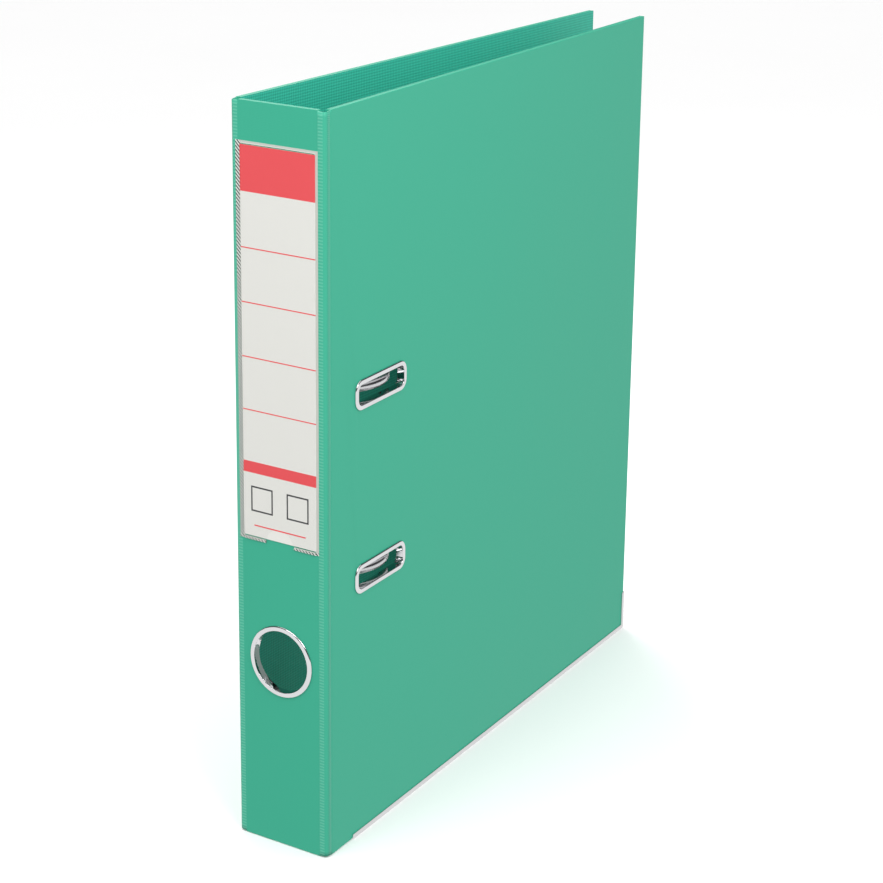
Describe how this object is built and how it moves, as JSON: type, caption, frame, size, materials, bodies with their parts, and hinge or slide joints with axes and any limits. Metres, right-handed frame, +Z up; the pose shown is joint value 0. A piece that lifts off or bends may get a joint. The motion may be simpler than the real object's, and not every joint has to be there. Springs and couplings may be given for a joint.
{
  "type": "lever arch file",
  "caption": "Upright lever arch file with a narrow spine, two hinged covers, locking slots, a finger ring, a label pocket and a working arch mechanism.",
  "frame": {"origin": "centre of the overall box, on the surface that the file stands on", "axes": "+Z up, the spine faces -Y, the front cover is on +X and the back cover on -X"},
  "size_m": [0.0468, 0.2854, 0.318],
  "materials": {
    "greyboard": "grey recycled board, seen only at a cut edge",
    "outer_foil": "satin polypropylene foil, mint green, very fine grain",
    "hinge_foil": "two foils welded together, mint green, fine knurled weld line",
    "lining_foil": "satin polypropylene lining with a fine linen emboss, deeper green",
    "edge_metal": "bright nickel-plated edge protector",
    "eyelet_chrome": "bright plated eyelet",
    "clear_film": "clear welded polypropylene film",
    "label_paper": "printed card: red bands and ruled lines, no lettering",
    "plated_sheet": "nickel-plated pressed sheet",
    "plated_lever": "bright nickel-plated lever",
    "plated_wire": "bright nickel-plated wire",
    "rivet_steel": "plated steel",
    "spring_steel": "dark spring wire",
    "roller_plastic": "black acetal",
    "bar_plastic": "black polystyrene",
    "catch_plastic": "black acetal"
  },
  "bodies": {
    "back_cover": {"back_board": "greyboard", "back_outer_foil": "outer_foil", "back_lining": "lining_foil", "back_edge_shoe": "edge_metal", "base_plate": "plated_sheet", "plate_rivets": "rivet_steel", "post_lower": "plated_wire", "post_upper": "plated_wire", "lever_rivets": "rivet_steel", "arch_spring": "spring_steel"},
    "spine": {"spine_board": "greyboard", "spine_outer_foil": "outer_foil", "spine_lining": "lining_foil", "finger_ring": "eyelet_chrome", "label_pocket": "clear_film", "front_hinge_foil": "hinge_foil", "back_hinge_foil": "hinge_foil"},
    "front_cover": {"front_board": "greyboard", "front_outer_foil": "outer_foil", "front_lining": "lining_foil", "front_edge_shoe": "edge_metal", "lock_ring_lower": "eyelet_chrome", "lock_ring_upper": "eyelet_chrome"},
    "arches": {"arch_bail": "plated_wire"},
    "lever": {"lever": "plated_lever", "roller_pin": "rivet_steel"},
    "roller": {"roller": "roller_plastic"},
    "compressor": {"compressor_bar": "bar_plastic"},
    "lower_catch": {"catch_lower": "catch_plastic"},
    "upper_catch": {"catch_upper": "catch_plastic"},
    "label": {"label_card": "label_paper"}
  },
  "joints": [
    {"name": "back_hinge", "type": "hinge", "parent": "back_cover", "child": "spine", "pos_m": [-0.02212, -0.14147, 0.1592], "axis": [0, 0, -1], "range_deg": [0, 90], "deforming": ["back_hinge_foil"]},
    {"name": "front_hinge", "type": "hinge", "parent": "spine", "child": "front_cover", "pos_m": [0.02302, -0.14147, 0.1592], "axis": [0, 0, -1], "range_deg": [0, 180], "deforming": ["front_hinge_foil"]},
    {"name": "arch_swing", "type": "hinge", "parent": "back_cover", "child": "arches", "pos_m": [-0.01495, -0.1169, 0.1575], "axis": [0, 0, -1], "range_deg": [0, 54], "deforming": ["arch_spring"]},
    {"name": "lever_lift", "type": "hinge", "parent": "back_cover", "child": "lever", "pos_m": [-0.00585, -0.1105, 0.1415], "axis": [0, 1, 0], "range_deg": [0, 90]},
    {"name": "roller_spin", "type": "hinge", "parent": "lever", "child": "roller", "pos_m": [-0.0089, -0.1074, 0.14678], "axis": [0, 1, 0], "continuous": true},
    {"name": "bar_slide", "type": "slide", "parent": "back_cover", "child": "compressor", "axis": [1, 0, 0], "range_m": [0, 0.0095]},
    {"name": "lower_catch_press", "type": "slide", "parent": "compressor", "child": "lower_catch", "axis": [0, 0, 1], "range_m": [0, 0.002], "stiffness_N_per_m": 150, "springref_m": -0.001},
    {"name": "upper_catch_press", "type": "slide", "parent": "compressor", "child": "upper_catch", "axis": [0, 0, -1], "range_m": [0, 0.002], "stiffness_N_per_m": 150, "springref_m": -0.001},
    {"name": "label_slide", "type": "slide", "parent": "spine", "child": "label", "axis": [0, 0, -1], "range_m": [0, 0.033]}
  ],
  "couplings": [
    {"joint": "lever_lift", "follows": "front_hinge", "ratio": 0.5},
    {"joint": "arch_swing", "follows": "front_hinge", "ratio": 0.3}
  ]
}
